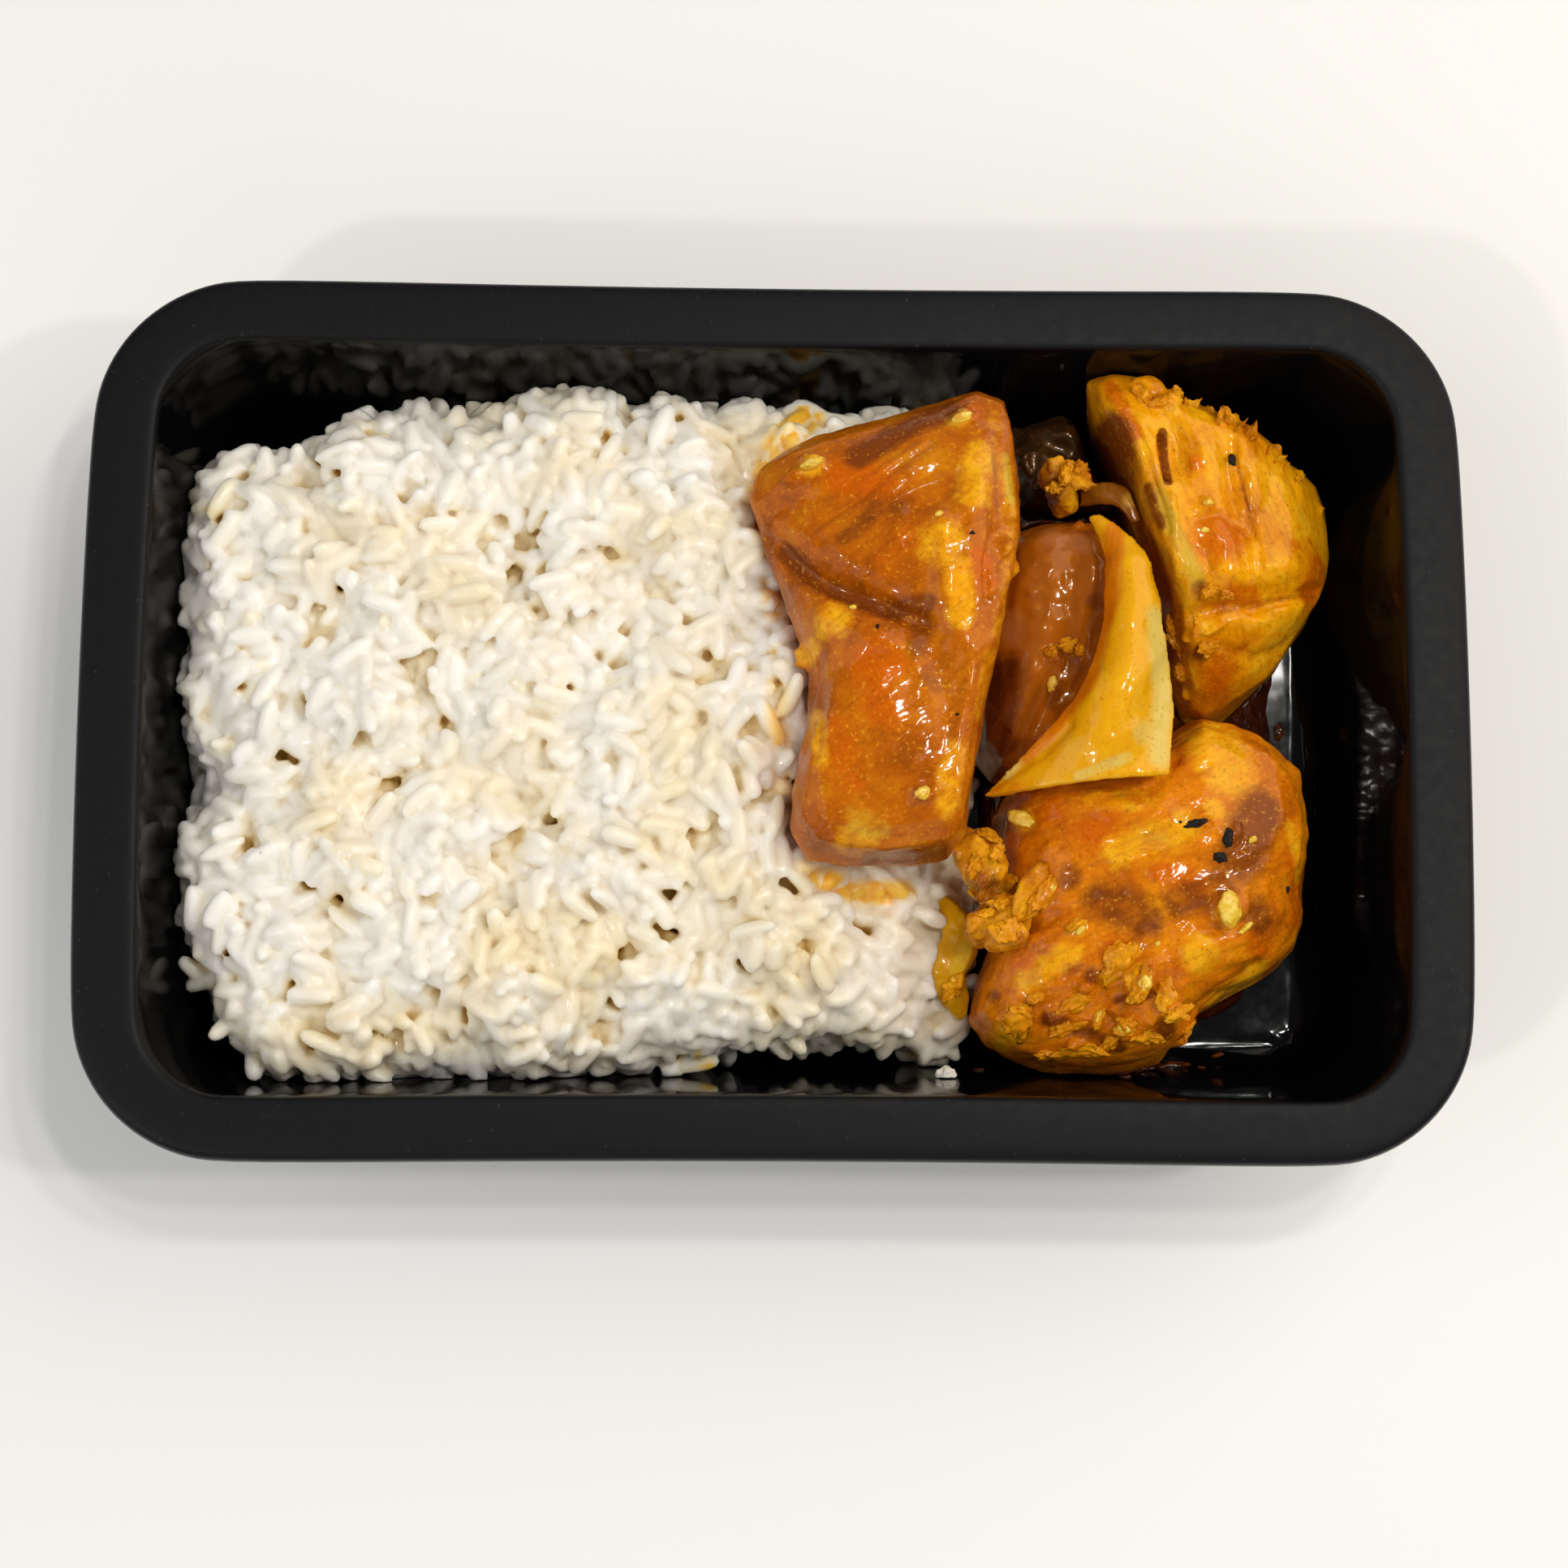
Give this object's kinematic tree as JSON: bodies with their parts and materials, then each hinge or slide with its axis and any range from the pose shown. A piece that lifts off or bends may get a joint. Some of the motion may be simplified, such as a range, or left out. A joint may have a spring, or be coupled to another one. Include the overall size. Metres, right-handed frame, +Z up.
{
  "type": "chicken curry with rice in a takeaway tray",
  "caption": "Boiled white rice and chicken curry with onion in a black plastic takeaway tray.",
  "frame": {"origin": "middle of the tray's flat base, on the surface it stands on", "axes": "+X along the tray's long side towards the curry, +Y towards the far long side, +Z up"},
  "size_m": [0.22, 0.1408, 0.0514],
  "materials": {
    "black_plastic": "satin flange, glossy inside",
    "boiled_rice": "soft and moist",
    "curried_chicken": "wet with sauce",
    "stewed_onion": "wet and half clear",
    "curry_gravy": "wet"
  },
  "bodies": {
    "root": {"tray": "black_plastic", "rice": "boiled_rice", "chicken_left": "curried_chicken", "chicken_upper": "curried_chicken", "chicken_lower": "curried_chicken", "chicken_shreds_near": "curried_chicken", "chicken_shreds_far": "curried_chicken", "onion_petal": "stewed_onion", "onion_heart": "stewed_onion", "onion_back": "stewed_onion", "onion_curl": "stewed_onion", "onion_strip": "stewed_onion", "curry_gravy": "curry_gravy"}
  },
  "joints": []
}
